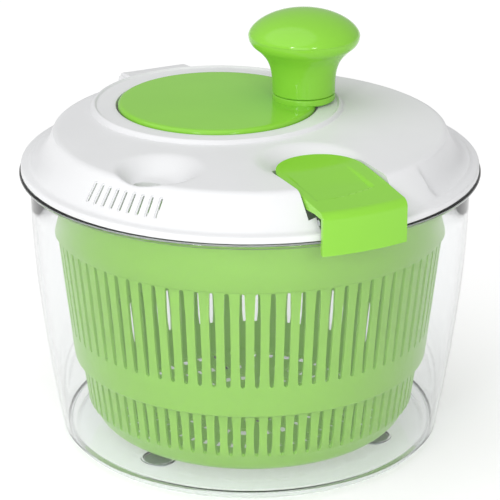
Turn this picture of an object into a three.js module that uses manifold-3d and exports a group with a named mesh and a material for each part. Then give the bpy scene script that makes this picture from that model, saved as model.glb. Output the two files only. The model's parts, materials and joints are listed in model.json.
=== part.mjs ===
// A hand-cranked salad spinner: a clear bowl, a slotted basket that spins in it, and a lid
// that holds the crank, its step-up gears and a spring latch. Millimetres, +Z up; the origin
// is on the table under the middle of the bowl, and the latch points along latchAngle.
import * as THREE from "three";
import { mergeVertices } from "three/addons/utils/BufferGeometryUtils.js";
import Module from "manifold-3d";

const wasm = await Module();
wasm.setup();

// ---- driving dimensions ----
const gap = 0.3; // between pieces that touch or seat
const runningGap = 0.4; // beside a piece that turns

const rimRadius = 123; // bowl
const rimWidth = 5.7;
const rimThickness = 2.4;
const bowlHeight = 151;
const bowlWall = 2.4;
const bowlTaper = 15; // how far its foot stands in from the top of its wall
const baseCorner = 5;
const footHeight = 1; // the bowl stands this far off the table
const footRadius = 7.5;
const footDepth = 1.2; // how far a foot goes into its seat
const footInset = 29.3; // from the bowl's foot in to the circle of feet
const footAngles = { foot_left: -132, foot_right: -22, foot_rear: 103 };
const pivotRadius = 4;
const pivotHeight = 11;

const basketClearance = 7.6; // between the bowl's wall and the basket
const basketWall = 1.8; // basket
const basketTaper = 22.3;
const basketFloor = 8; // height of its underside
const basketDrop = 2.6; // from the bowl's rim down to the basket's
const bandHeight = 30; // plain band under the basket's rim
const midBandLow = 46;
const midBandHigh = 64.5;
const slotCount = 84;
const slotShare = 0.4; // of the pitch
const basketLip = 2.4;
const lowSlotFoot = 21.6;
const bushWall = 2.5; // the bush between the bowl's cone and the basket's hub
const ribWidth = 4; // the ribs that take the drive

const lidWall = 2.2; // lid
const flankRun = 16; // from the shoulder out to the lid's edge
const shoulderRise = 20.5; // above the bowl's rim
const skirtDepth = 4;
const collarRise = 24.4; // top of the round collar about the crank, above the rim
const coveSpan = 72; // degrees of each grip cove
const coveAngles = [62, 242]; // from the latch
const coveRadius = 15;
const ventCount = 9;
const ventPitch = 2.69; // degrees
const ventWidth = 1.7;
const ventAngle = -61.5; // from the latch
const thumbDishRadius = 22.5;
const dishAngle = -60; // from the latch
const inletRadius = 10;
const latchAngle = -63; // degrees from +X, as is the next one
const crankAngle = 118.5;
const hookWidth = 42; // the fixed hook across from the latch

const gearModule = 1.5; // drive
const ringTeeth = 64;
const pinionTeeth = 14;
const toothBacklash = 0.36;
const gearWidth = 7.5;
const gearRim = 6; // from the ring gear's pitch circle to the edge of the disc
const knobInset = 6.6; // from the edge of the disc in to the knob's centre
const knobAngle = 5.8; // degrees from +X at rest
const knobRadius = 30.3;
const knobHeight = 45.8;
const knobCapHeight = 13.9;
const bossRadius = 17.2;
const bossClearance = 1.3; // beside the boss, out to the collar
const spindleRadius = 3;
const axleRadius = 5;
const postRadius = 7;
const screwPostRadius = 4;
const screwHole = 1.3; // radius of the holes that the larger screws cut their thread in

const latchWidth = 47.5; // latch
const latchThickness = 4.5;
const latchPinRadius = 1.5;

// ---- places worked out from them ----
const ringPitchRadius = (ringTeeth * gearModule) / 2;
const pinionPitchRadius = (pinionTeeth * gearModule) / 2;
const crankOffset = ringPitchRadius - pinionPitchRadius; // lid centre to crank centre
const discRadius = ringPitchRadius + gearRim;
const knobReach = discRadius - knobInset;
const rimTop = bowlHeight;
const lidFoot = rimTop + gap;
const lidRadius = rimRadius - 1;
const wallTopRadius = rimRadius - rimWidth;
const wallTopHeight = rimTop - 20;
const baseRadius = wallTopRadius - bowlTaper;
const footRingRadius = baseRadius - footInset;
const basketTopRadius = wallTopRadius - bowlWall - basketClearance;
const basketBottomRadius = basketTopRadius - basketTaper;
const basketTop = rimTop - basketDrop;
const skirtRadius = wallTopRadius - bowlWall - 1.3;
const shoulderRadius = lidRadius - flankRun;
const shoulderTop = rimTop + shoulderRise;
const collarTop = rimTop + collarRise;
const collarRadius = knobReach + bossRadius + bossClearance;
const ledgeTop = collarTop - 1.2; // the flat ring that the knob's boss passes over
const wellRadius = discRadius + 1;
const discTop = collarTop + 0.4;
const discUnder = discTop - 3.4;
const gearTop = discUnder - gap;
const gearFoot = gearTop - gearWidth;
const housingTop = gearFoot - 2.6;
const housingThickness = 2.5;
const housingFoot = housingTop - housingThickness;
const bossTop = discTop + 3.1;
const knobFoot = bossTop + gap;
const knobTop = knobFoot + knobHeight;
const plateFoot = rimTop - 9.5; // drive plate
const plateThickness = 3.5;
const plateRadius = basketTopRadius - basketWall - 4;
const ventReach = (shoulderRadius + lidRadius) / 2 - 2.6;

const slotPitch = 360 / slotCount;
const driveAngles = [45, 135, 225, 315]; // ribs of the basket and notches of the drive plate
const thirds = [0, 120, 240];

const radians = THREE.MathUtils.degToRad;

// ---- materials ----
const finish = (color, roughness, metalness = 0) =>
  new THREE.MeshStandardMaterial({ color, roughness, metalness });
const clearPlastic = new THREE.MeshStandardMaterial({
  color: 0xeef4f4,
  roughness: 0.05,
  transparent: true,
  opacity: 0.3,
});
const greenPlastic = finish(0x8ed653, 0.3);
const whitePlastic = finish(0xf2f2f3, 0.35);
const nylon = finish(0xe6e2d6, 0.5);
const rubber = finish(0x76807a, 0.8);
const steel = finish(0xb9bcc0, 0.3, 1);

// ---- solids ----
// A closed three.js geometry as a manifold solid: only merged positions, no slivers.
function solid(geometry) {
  const bare = geometry.index ? geometry.toNonIndexed() : geometry.clone();
  bare.deleteAttribute("normal");
  bare.deleteAttribute("uv");
  const merged = mergeVertices(bare, 1e-4);
  const kept = [];
  const index = merged.index.array;
  for (let i = 0; i < index.length; i += 3) {
    const [a, b, c] = [index[i], index[i + 1], index[i + 2]];
    if (a !== b && b !== c && c !== a) kept.push(a, b, c);
  }
  return new wasm.Manifold(
    new wasm.Mesh({
      numProp: 3,
      vertProperties: merged.attributes.position.array,
      triVerts: new Uint32Array(kept),
    }),
  );
}

function node(name, shape, material) {
  const made = shape.getMesh();
  const geometry = new THREE.BufferGeometry();
  geometry.setAttribute("position", new THREE.BufferAttribute(made.vertProperties, 3));
  geometry.setIndex(new THREE.BufferAttribute(made.triVerts, 1));
  geometry.computeVertexNormals();
  const mesh = new THREE.Mesh(geometry, material);
  mesh.name = name;
  return mesh;
}

// A closed [radius, height] outline turned about the Z axis.
function turned(outline, segments = 16) {
  const points = outline.map(([r, z]) => new THREE.Vector2(r, z));
  if (THREE.ShapeUtils.area(points) < 0) points.reverse();
  points.push(points[0].clone());
  return solid(new THREE.LatheGeometry(points, segments).rotateX(Math.PI / 2));
}

const disc = (radius, low, high, segments = 16) =>
  turned([[0, low], [radius, low], [radius, high], [0, high]], segments);

const ring = (inner, outer, low, high, segments = 16) =>
  turned([[inner, low], [outer, low], [outer, high], [inner, high]], segments);

const cone = (lowRadius, low, highRadius, high, segments = 16) =>
  turned([[0, low], [lowRadius, low], [highRadius, high], [0, high]], segments);

// A flat outline (x, y) pulled up from low to high.
function prism(outline, low, high) {
  const shape = new THREE.Shape(outline.map(([x, y]) => new THREE.Vector2(x, y)));
  const pulled = new THREE.ExtrudeGeometry(shape, { depth: high - low, bevelEnabled: false });
  return solid(pulled.translate(0, 0, low));
}

// A side outline (u, z) pulled across v, from -width/2 to width/2.
function sideways(outline, width) {
  const shape = new THREE.Shape(outline.map(([u, z]) => new THREE.Vector2(u, z)));
  const pulled = new THREE.ExtrudeGeometry(shape, { depth: width, bevelEnabled: false });
  return solid(pulled.rotateX(Math.PI / 2).translate(0, width / 2, 0));
}

const block = (low, high) => {
  const size = high.map((value, i) => value - low[i]);
  const middle = high.map((value, i) => (value + low[i]) / 2);
  return solid(new THREE.BoxGeometry(...size).translate(...middle));
};

const turnedBy = (shape, degrees) => shape.rotate([0, 0, degrees]);
const movedTo = (shape, angle, reach) =>
  shape.translate([reach * Math.cos(radians(angle)), reach * Math.sin(radians(angle)), 0]);
const join = (...shapes) => wasm.Manifold.union(shapes);
const cut = (shape, ...tools) => shape.subtract(join(...tools));

// ---- bowl ----
// The wall leaves the foot at a slope and turns upright under the rim.
function bowlRadiusAt(height) {
  const t = Math.min(height / wallTopHeight, 1);
  return wallTopRadius - (wallTopRadius - baseRadius) * (1 - t) ** 1.63;
}

function bowl() {
  const wallHeights = [0.08, 0.4, 1].map((t) => t * wallTopHeight);
  const floor = footHeight + bowlWall;
  const outside = wallHeights.map((z) => [bowlRadiusAt(z), z]);
  const inside = wallHeights.map((z) => [bowlRadiusAt(z) - bowlWall, z]).reverse();
  inside[inside.length - 1][1] += bowlWall;
  const outline = [
    [0, footHeight],
    [baseRadius - baseCorner, footHeight],
    [baseRadius - baseCorner * 0.3, footHeight + baseCorner * 0.35],
    ...outside,
    [wallTopRadius, rimTop - rimThickness - 1.6],
    [wallTopRadius + 1.2, rimTop - rimThickness],
    [rimRadius, rimTop - rimThickness],
    [rimRadius, rimTop],
    [wallTopRadius - bowlWall, rimTop],
    ...inside,
    [baseRadius - baseCorner - 2, floor + 0.8],
    [footRingRadius + footRadius + 1, floor + 0.8],
    [footRingRadius + footRadius, floor],
    [pivotRadius * 2, floor],
    [pivotRadius, floor + 3],
    [pivotRadius, floor + pivotHeight],
    [0, floor + pivotHeight + 0.8],
  ];
  const seats = Object.values(footAngles).map((angle) =>
    movedTo(disc(footRadius + gap, 0, footHeight + footDepth + gap), angle, footRingRadius),
  );
  return node("bowl", cut(turned(outline, 42), ...seats), clearPlastic);
}

function feet() {
  const top = footHeight + footDepth;
  const foot = turned([
    [0, 0],
    [footRadius - 0.5, 0],
    [footRadius, 0.5],
    [footRadius, top],
    [0, top],
  ]);
  return Object.entries(footAngles).map(([name, angle]) =>
    node(name, movedTo(foot, angle, footRingRadius), rubber),
  );
}

// ---- basket and the bush that it turns on ----
const bushRadius = pivotRadius + bushWall;
const bushFoot = basketFloor + 0.6;
const bushTop = footHeight + bowlWall + pivotHeight + 0.8 + gap + bushWall;

function pivotBush() {
  const cup = disc(bushRadius, bushFoot, bushTop);
  const socket = disc(pivotRadius + gap, bushFoot - 1, bushTop - bushWall);
  return node("pivot_bush", cut(cup, socket), nylon);
}

// The outside of the basket, from its floor to its rim.
const basketSide = [
  [basketBottomRadius - 11, basketFloor],
  [basketBottomRadius - 5, basketFloor + 1.3],
  [basketBottomRadius - 0.5, basketFloor + 5.5],
  [basketBottomRadius + 2.5, basketFloor + 12],
  [basketTopRadius - 14.9, midBandLow],
  [basketTopRadius - 11.1, midBandLow],
  [basketTopRadius - 9.4, midBandHigh],
  [basketTopRadius - 3.4, basketTop - bandHeight],
  [basketTopRadius - 1, basketTop - bandHeight],
  [basketTopRadius, basketTop - basketLip],
  [basketTopRadius + 1.8, basketTop - basketLip],
  [basketTopRadius + 1.8, basketTop],
];

// Its inside follows the outside, a wall's thickness in, up to the plain band.
const basketInside = [0, 2, 3, 4, 5, 6, 7, 8].map((i) => {
  const [r, z] = basketSide[i];
  return [r - basketWall, i === 6 ? z : z + basketWall];
});

// A tier of upright slots between two heights, two to each flat of the wall.
function slotTier(low, high, radius) {
  const width = radians(slotPitch * slotShare) * radius;
  const slot = block([radius - 9, -width / 2, low], [radius + 9, width / 2, high]);
  return Array.from({ length: slotCount }, (_, i) => turnedBy(slot, (i + 0.5) * slotPitch));
}

function floorSlots(count, radius) {
  const slot = block([radius - 1.6, -4.5, basketFloor - 1], [radius + 1.6, 4.5, basketFloor + 4]);
  return Array.from({ length: count }, (_, i) => turnedBy(slot, (i * 360) / count));
}

function basketHub() {
  const socket = bushRadius + gap;
  const top = bushTop + gap;
  return turned([
    [socket, basketFloor],
    [socket + 4, basketFloor],
    [socket + 2.4, top + 1],
    [socket, top + 2.4],
    [0, top + 2.4],
    [0, top],
    [socket, top],
  ]);
}

function basket() {
  const shell = turned(
    [
      [bushRadius + 2, basketFloor],
      ...basketSide,
      [basketTopRadius - 1 - basketWall, basketTop],
      ...basketInside.reverse(),
      [bushRadius + 2, basketFloor + basketWall],
    ],
    slotCount / 2,
  );
  const slots = [
    ...slotTier(lowSlotFoot, midBandLow - 0.5, basketTopRadius - 17),
    ...slotTier(midBandHigh, basketTop - bandHeight - 0.5, basketTopRadius - 5),
    ...floorSlots(12, basketBottomRadius - 45),
    ...floorSlots(24, basketBottomRadius - 25),
  ];
  const rib = block(
    [plateRadius - 3, -ribWidth / 2, plateFoot - 2],
    [basketTopRadius - 2, ribWidth / 2, basketTop - 1],
  );
  const ribs = driveAngles.map((angle) => turnedBy(rib, angle + latchAngle));
  return node("basket", join(cut(shell, ...slots), basketHub(), ...ribs), greenPlastic);
}

// ---- lid: everything here is drawn with the latch along +X (u) and turned at the end ----
const pocketFloor = lidFoot + 4.2;
const pocketHalf = latchWidth / 2 + 0.95;
const latchRear = shoulderRadius - 49; // rear tip of the latch
const latchRound = latchRear + latchWidth / 2; // centre of its round end
const pinReach = lidRadius - 6;
const pinHeight = pocketFloor + 3.7;
const pinHole = latchPinRadius + 0.1;
const pinLength = latchWidth - 4.5;
const lidEarPlace = latchWidth / 2 - 5.15; // inner faces of the lid's ears, from the middle
const latchEarPlace = latchWidth / 2 - 8.95;
const screwReach = wellRadius + 7;
const screwAngles = [45, 135, 225, 315];
const everywhere = rimTop * 2; // taller than the whole object
const crankTurn = crankAngle - 180 - latchAngle;

const aboutCrank = (shape) => turnedBy(shape.translate([-crankOffset, 0, 0]), crankTurn);

// The lid's domed top as a full solid, its skin moved in by inset.
function domeSolid(inset) {
  const skirt = skirtRadius - inset;
  const skirtFoot = lidFoot - skirtDepth - (inset ? 1 : 0);
  const edge = inset
    ? [[skirt, lidFoot + 2.2]]
    : [
        [lidRadius - 3.6, lidFoot + 3.4],
        [lidRadius, lidFoot + 2.5],
        [lidRadius, lidFoot],
        [skirtRadius, lidFoot],
      ];
  return turned(
    [
      [0, collarTop - 1 - inset],
      [shoulderRadius - 2.2 - inset * 0.6, shoulderTop + 0.2 - inset],
      [shoulderRadius + 0.8 - inset * 0.8, shoulderTop - 1.2 - inset * 0.7],
      [shoulderRadius + 2.6 - inset, shoulderTop - 3.6 - inset * 0.5],
      [lidRadius - 4.6 - inset * 1.1, lidFoot + 4.4 - inset * 0.6],
      ...edge,
      [skirt, skirtFoot],
      [0, skirtFoot],
    ],
    inset ? 28 : 42,
  );
}

function collarSolid(inset) {
  const foot = shoulderTop - 4;
  const outline = [
    [0, foot - inset],
    [collarRadius + 4 - inset, foot - inset],
    [collarRadius + 2.4 - inset, collarTop - 1.6 - inset],
    [collarRadius + 1 - inset, collarTop - inset],
    [0, collarTop - inset],
  ];
  return aboutCrank(turned(outline, inset ? 24 : 36));
}

// The space that is taken out of the top for the latch and for a finger behind it.
function latchPocket(grow) {
  const floor = pocketFloor - grow;
  const half = pocketHalf + grow;
  const top = collarTop + 5;
  const fingerTop = half + 6 + (top - shoulderTop) * 0.4;
  return join(
    block([latchRound, -half, floor], [rimRadius + 20, half, top]),
    disc(half, floor, top, 28).translate([latchRound, 0, 0]),
    cone(half - 6, floor, fingerTop, top, 28).translate([latchRound - 12, 0, 0]),
  );
}

// A scooped dish near the edge, with a round hole in its floor that lets rinsing water in.
const dishReach = shoulderRadius - thumbDishRadius - 0.4;
const dishFloorRadius = thumbDishRadius - 7.7;

function thumbDish(grow) {
  const floor = shoulderTop - 6.5;
  const slope = (thumbDishRadius - dishFloorRadius) / (shoulderTop + 0.5 - floor);
  const top = collarTop + 5;
  const topRadius = thumbDishRadius + grow + slope * (top - shoulderTop);
  return movedTo(cone(dishFloorRadius + grow, floor - grow, topRadius, top, 28), dishAngle, dishReach);
}

const waterInlet = () => movedTo(disc(inletRadius, rimTop, collarTop, 20), dishAngle, dishReach + 3);

// A hollow along the flank, so that fingers can lift the lid.
function gripCove(grow, angle) {
  const tube = coveRadius + grow;
  const points = 10;
  const outline = [];
  for (let i = 0; i < points; i++) {
    const turn = (i / points) * 2 * Math.PI;
    outline.push([lidRadius - 1 + tube * Math.cos(turn), shoulderTop - 0.5 + tube * Math.sin(turn)]);
  }
  const half = radians(coveSpan / 2) + grow / lidRadius;
  const farU = rimRadius * 2 * Math.cos(half);
  const farV = rimRadius * 2 * Math.sin(half);
  const wedge = prism([[0, 0], [farU, -farV], [farU, farV]], 0, everywhere);
  return turnedBy(turned(outline, 42).intersect(wedge), angle);
}

// The fixed hook across from the latch: a slab and a lip outside the bowl's rim.
const hookInner = rimRadius + 1.2;
const hookOuter = rimRadius + 3.8;
const hookFoot = rimTop - 5;
const hookTop = shoulderTop + 0.7;

function rearHook() {
  const slab = sideways(
    [
      [shoulderRadius - 8, hookTop - 6],
      [shoulderRadius - 8, hookTop],
      [rimRadius - 3, hookTop - 1.2],
      [rimRadius + 1.5, hookTop - 3],
      [hookOuter + 1, hookTop - 7],
      [hookOuter + 1, hookFoot],
      [skirtRadius + 6, hookFoot],
      [skirtRadius + 6, hookTop - 6],
    ],
    hookWidth,
  );
  const around = disc(hookOuter, hookFoot - 5, hookTop + 5, 96);
  const under = disc(hookInner, hookFoot - 1, hookTop - 6.5, 96);
  return turnedBy(cut(slab.intersect(around), under), 180);
}

function vents() {
  const height = (shoulderTop + lidFoot) / 2 + 1;
  const upright = block([-9, -ventWidth / 2, -6], [9, ventWidth / 2, 6]);
  const slot = upright.rotate([0, 52, 0]).translate([0, 0, height]);
  return Array.from({ length: ventCount }, (_, i) =>
    turnedBy(slot.translate([ventReach, 0, 0]), ventAngle + (i - (ventCount - 1) / 2) * ventPitch),
  );
}

function screwPosts(radius, low, high) {
  const post = disc(radius, low, high, 12);
  return screwAngles.map((angle) => aboutCrank(movedTo(post, angle, screwReach)));
}

// Two upright ears in the pocket that hold the latch's pin.
function pinEars() {
  const width = 2.4;
  const ear = block([pinReach - 3.5, 0, pocketFloor - 1], [pinReach + 3.5, width, pinHeight + 2.8]);
  return [lidEarPlace, -lidEarPlace - width].map((v) => ear.translate([0, v, 0]));
}

function acrossLatch(radius, length) {
  const rod = new THREE.CylinderGeometry(radius, radius, length, 16);
  return solid(rod).translate([pinReach, 0, pinHeight]);
}

function lidShell() {
  const scoops = (grow) => [
    latchPocket(grow),
    thumbDish(grow),
    ...coveAngles.map((angle) => gripCove(grow, angle)),
  ];
  const outer = cut(join(domeSolid(0), collarSolid(0)), ...scoops(0));
  const inner = cut(join(domeSolid(lidWall), collarSolid(lidWall)), ...scoops(lidWall));
  const well = aboutCrank(ring(wellRadius, wellRadius + lidWall, housingTop + gap, ledgeTop, 40));
  const posts = screwPosts(screwPostRadius, housingTop + gap, ledgeTop - 0.5);
  const shell = join(cut(outer, inner), well, rearHook(), ...pinEars(), ...posts);
  const above = collarTop + 9;
  const inWell = join(
    aboutCrank(disc(wellRadius, 0, above, 40)),
    aboutCrank(disc(collarRadius, ledgeTop, above, 40)),
  );
  const holes = screwPosts(1.5, 0, housingTop + 8);
  return cut(shell, inWell, ...holes, ...vents(), waterInlet(), acrossLatch(pinHole, latchWidth * 1.3));
}

// ---- gear housing, under the lid ----
const collarBelow = housingFoot - 4;
const bushOuter = spindleRadius + 2;

function gearHousing() {
  const pan = aboutCrank(disc(wellRadius + lidWall, housingFoot, housingTop, 40));
  const arm = block([wellRadius - 4, -5, housingFoot], [screwReach, 5, housingTop]);
  const pad = disc(5, housingFoot, housingTop, 16).translate([screwReach, 0, 0]);
  const ears = screwAngles.map((angle) => aboutCrank(turnedBy(join(arm, pad), angle)));
  const spindleCollar = disc(bushOuter + 2.5, collarBelow, housingTop);
  const axleCollar = aboutCrank(disc(axleRadius + 3, collarBelow, housingTop));
  const holes = join(
    disc(bushOuter + gap, 0, everywhere),
    aboutCrank(disc(axleRadius + runningGap, 0, everywhere)),
    ...screwPosts(1.8, 0, everywhere),
  );
  return cut(join(pan, spindleCollar, axleCollar, ...ears), holes);
}

// A pan-head screw standing on its head: head below headTop, shank above it.
function screw(headRadius, shankRadius, headTop, length) {
  return turned(
    [
      [0, headTop - 1.9],
      [headRadius * 0.6, headTop - 1.9],
      [headRadius, headTop - 1.1],
      [headRadius, headTop],
      [shankRadius, headTop],
      [shankRadius, headTop + length],
      [0, headTop + length],
    ],
    10,
  );
}

function housingScrews() {
  const fixing = screw(3.2, 1.2, housingFoot - gap, 9);
  return screwAngles.map((angle, i) => [
    "housing_screw_" + (i + 1),
    aboutCrank(movedTo(fixing, angle, screwReach)),
  ]);
}

// ---- gears ----
const addendum = gearModule * 0.73;
const dedendum = gearModule;
const ringScrewReach = ringPitchRadius + 3.4;
const involute = (a) => Math.tan(a) - a;

// The outline of a wheel with involute teeth, one tooth centred on +X.
function toothedOutline(teeth, low, high, thicken) {
  const pitchRadius = (teeth * gearModule) / 2;
  const pressure = radians(20);
  const baseCircle = pitchRadius * Math.cos(pressure);
  const halfAtPitch = Math.PI / (2 * teeth) + thicken / (2 * pitchRadius);
  const halfAt = (r) =>
    halfAtPitch + involute(pressure) - involute(Math.acos(Math.min(baseCircle / r, 1)));
  const at = (r, angle) => [r * Math.cos(angle), r * Math.sin(angle)];
  return Array.from({ length: teeth }, (_, i) => (i * 2 * Math.PI) / teeth).flatMap((middle) => [
    at(low, middle - halfAt(low)),
    at(high, middle - halfAt(high)),
    at(high, middle + halfAt(high)),
    at(low, middle + halfAt(low)),
  ]);
}

function ringGear() {
  const low = ringPitchRadius - addendum;
  const space = toothedOutline(ringTeeth, low, ringPitchRadius + dedendum, toothBacklash / 2);
  const rim = disc(discRadius - 0.2, gearFoot, gearTop, 32);
  const hole = disc(1, gearFoot - 1, gearTop + 1, 10);
  const holes = thirds.map((angle) => movedTo(hole, angle, ringScrewReach));
  return aboutCrank(cut(rim, prism(space, gearFoot - 1, gearTop + 1), ...holes));
}

function pinion() {
  const low = pinionPitchRadius - dedendum;
  const outline = toothedOutline(pinionTeeth, low, pinionPitchRadius + addendum, -toothBacklash / 2);
  const teeth = prism(outline, gearFoot + 0.6, gearTop - 0.6);
  return turnedBy(cut(teeth, disc(spindleRadius + gap, 0, everywhere)), crankTurn);
}

// ---- crank ----
const knobTurn = radians(knobAngle - latchAngle - crankTurn);
const overPost = (shape) =>
  aboutCrank(shape.translate([knobReach * Math.cos(knobTurn), knobReach * Math.sin(knobTurn), 0]));
const postTop = knobFoot + 23.2;

function crankDisc() {
  const plate = [
    [0, discUnder],
    [discRadius - 1, discUnder],
    [discRadius, discUnder + 1],
    [discRadius, discTop - 1.4],
    [discRadius - 1.6, discTop - 0.2],
    [0, discTop + 0.6],
  ];
  const boss = [
    [0, ledgeTop + 0.9],
    [bossRadius - 0.6, ledgeTop + 0.9],
    [bossRadius, ledgeTop + 1.5],
    [bossRadius, bossTop],
    [0, bossTop],
  ];
  const axle = disc(axleRadius, collarBelow - 0.5, discUnder + 0.1);
  const post = disc(postRadius, bossTop - 1, postTop, 20);
  const ringHole = disc(1, discUnder - 1, discUnder + 2, 10);
  return cut(
    join(aboutCrank(join(turned(plate, 40), axle)), overPost(join(turned(boss, 24), post))),
    aboutCrank(disc(screwHole, 0, collarBelow + 12, 12)),
    overPost(disc(screwHole, postTop - 14, postTop + 1, 12)),
    ...thirds.map((angle) => aboutCrank(movedTo(ringHole, angle, ringScrewReach))),
  );
}

function ringScrews() {
  const fixing = screw(1.7, 0.7, gearFoot - gap, 9);
  return thirds.map((angle, i) => [
    "ring_gear_screw_" + (i + 1),
    aboutCrank(movedTo(fixing, angle, ringScrewReach)),
  ]);
}

// ---- knob ----
function knobStem() {
  const web = postTop - 1.5; // the web that the washer holds down
  const sleeve = postRadius + runningGap;
  const seam = knobTop - knobCapHeight;
  return turned(
    [
      [bossRadius, knobFoot],
      [bossRadius + 0.2, knobFoot + 8],
      [bossRadius + 1.2, knobFoot + 14],
      [bossRadius + 3.4, knobFoot + 19],
      [knobRadius - 5.7, knobFoot + 23.6],
      [knobRadius - 1.9, knobFoot + 27],
      [knobRadius, seam - 1.4],
      [knobRadius, seam],
      [knobRadius - 2.4, seam],
      [knobRadius - 4.8, seam - 4],
      [knobRadius - 8.6, web + 1.2],
      [knobRadius - 9.4, web],
      [sleeve, web],
      [sleeve, knobFoot],
      [sleeve + 2, knobFoot],
      [sleeve + 2, web - 2.4],
      [bossRadius + 1.4, web - 2.4],
      [bossRadius - 0.9, knobFoot + 12],
      [bossRadius - 2, knobFoot],
    ],
    28,
  );
}

function knobCap() {
  const seam = knobTop - knobCapHeight + gap;
  const rise = knobTop - seam;
  const steps = [0, 0.3, 0.55, 0.78, 0.92];
  const dome = (inset) =>
    steps.map((t) => [(knobRadius - inset) * Math.sqrt(1 - t ** 1.6), seam + (rise - inset) * t]);
  return turned([...dome(0), [0, knobTop], [0, knobTop - 2.4], ...dome(2.4).reverse()], 28);
}

function knobScrew() {
  const headFoot = postTop + gap * 2 + 1;
  return overPost(screw(3.4, 1, 0, 10).rotate([180, 0, 0]).translate([0, 0, headFoot]));
}

// ---- drive spindle and the plate that turns the basket ----
const spindleFoot = plateFoot - 2;

function drivePlate() {
  const plateTop = plateFoot + plateThickness;
  const notchHalf = ribWidth / 2 + runningGap;
  const hub = disc(spindleRadius + 5.5, plateFoot, collarBelow - 1);
  const rim = ring(plateRadius - 7, plateRadius, plateFoot, plateTop, 40);
  const arm = block([-plateRadius + 3, -7, plateFoot], [plateRadius - 3, 7, plateTop]);
  const notch = block(
    [plateRadius - 3.4, -notchHalf, plateFoot - 1],
    [plateRadius + 4, notchHalf, plateTop + 1],
  );
  return cut(
    join(hub, rim, arm, turnedBy(arm, 90)),
    disc(spindleRadius + gap, 0, everywhere),
    ...driveAngles.map((angle) => turnedBy(notch, angle)),
  );
}

function spindle() {
  const shaft = disc(spindleRadius, plateFoot - gap, gearTop - 0.2, 20);
  return cut(shaft, disc(screwHole, 0, plateFoot + 12, 12));
}

const washer = (outer, low, high) => ring(2, outer, low, high);

// ---- latch ----
function latch() {
  const rearTop = shoulderTop + 1.2;
  const foldTop = shoulderTop - 4.4;
  const foot = rimTop - 6.4;
  const clawTop = rimTop - 3.6;
  const under = foldTop - latchThickness;
  const body = sideways(
    [
      [latchRear - 2, rearTop - latchThickness],
      [latchRear - 2, rearTop],
      [rimRadius - 2, foldTop],
      [rimRadius + 2, foldTop - 1.6],
      [hookOuter + 1, foldTop - 5],
      [hookOuter + 1, foot],
      [rimRadius - 6, foot],
      [rimRadius - 6, under],
    ],
    latchWidth,
  );
  const plan = join(
    block([latchRound, -latchWidth, 0], [rimRadius * 2, latchWidth, everywhere]),
    disc(latchWidth / 2, 0, everywhere, 36).translate([latchRound, 0, 0]),
  );
  const shaped = cut(
    body.intersect(plan).intersect(disc(hookOuter, 0, everywhere, 96)),
    disc(hookInner, clawTop, under, 96),
    disc(rimRadius + runningGap, 0, clawTop + 1, 96),
  );
  const width = 2.6;
  const ear = block([pinReach - 3, 0, pinHeight], [pinReach + 3, width, under + 1]);
  const earRound = solid(new THREE.CylinderGeometry(3, 3, width, 16));
  const whole = join(ear, earRound.translate([pinReach, width / 2, pinHeight]));
  const ears = [latchEarPlace, -latchEarPlace - width].map((v) => whole.translate([0, v, 0]));
  return cut(join(shaped, ...ears), acrossLatch(pinHole, latchWidth * 1.3));
}

// The coils as a sleeve about the pin, with one leg on the pocket floor.
function latchSpring() {
  const coils = cut(acrossLatch(latchPinRadius + 1.5, 14), acrossLatch(latchPinRadius + 0.3, 16));
  const foot = pocketFloor + gap;
  return join(coils, block([pinReach - 14, 5.8, foot], [pinReach, 6.8, foot + 1]));
}

// ---- assembly ----
const whole = new THREE.Group();
whole.add(bowl(), ...feet(), pivotBush(), basket());

const lid = new THREE.Group();
lid.rotation.z = radians(latchAngle);
whole.add(lid);

lid.add(
  node("lid_shell", lidShell(), whitePlastic),
  node("gear_housing", gearHousing(), whitePlastic),
  node("spindle_bush", ring(spindleRadius + 0.1, bushOuter, collarBelow, housingTop + 1), nylon),
  ...housingScrews().map(([name, shape]) => node(name, shape, steel)),
  node("latch", latch(), greenPlastic),
  node("latch_pin", acrossLatch(latchPinRadius, pinLength), steel),
  node("latch_spring", latchSpring(), steel),
);

lid.add(
  node("crank_disc", crankDisc(), greenPlastic),
  node("ring_gear", ringGear(), nylon),
  ...ringScrews().map(([name, shape]) => node(name, shape, steel)),
  node("crank_washer", aboutCrank(washer(axleRadius + 3, collarBelow - 2, collarBelow - 0.8)), steel),
  node("crank_screw", aboutCrank(screw(3.4, 1, collarBelow - 2 - gap, 10)), steel),
);

lid.add(
  node("knob_stem", overPost(knobStem()), greenPlastic),
  node("knob_cap", overPost(knobCap()), greenPlastic),
  node("knob_washer", overPost(washer(postRadius + 4, postTop + gap, postTop + gap + 1)), steel),
  node("knob_screw", knobScrew(), steel),
);

lid.add(
  node("pinion", pinion(), nylon),
  node("drive_spindle", spindle(), steel),
  node("drive_plate", drivePlate(), whitePlastic),
  node("drive_washer", washer(spindleRadius + 3, spindleFoot - 0.2, spindleFoot + 1), steel),
  node("drive_screw", screw(3.4, 1, spindleFoot - 0.2 - gap, 11), steel),
);

export default whole;
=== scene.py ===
import json
import math

import bmesh
import bpy
from mathutils import Matrix, Vector


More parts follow.
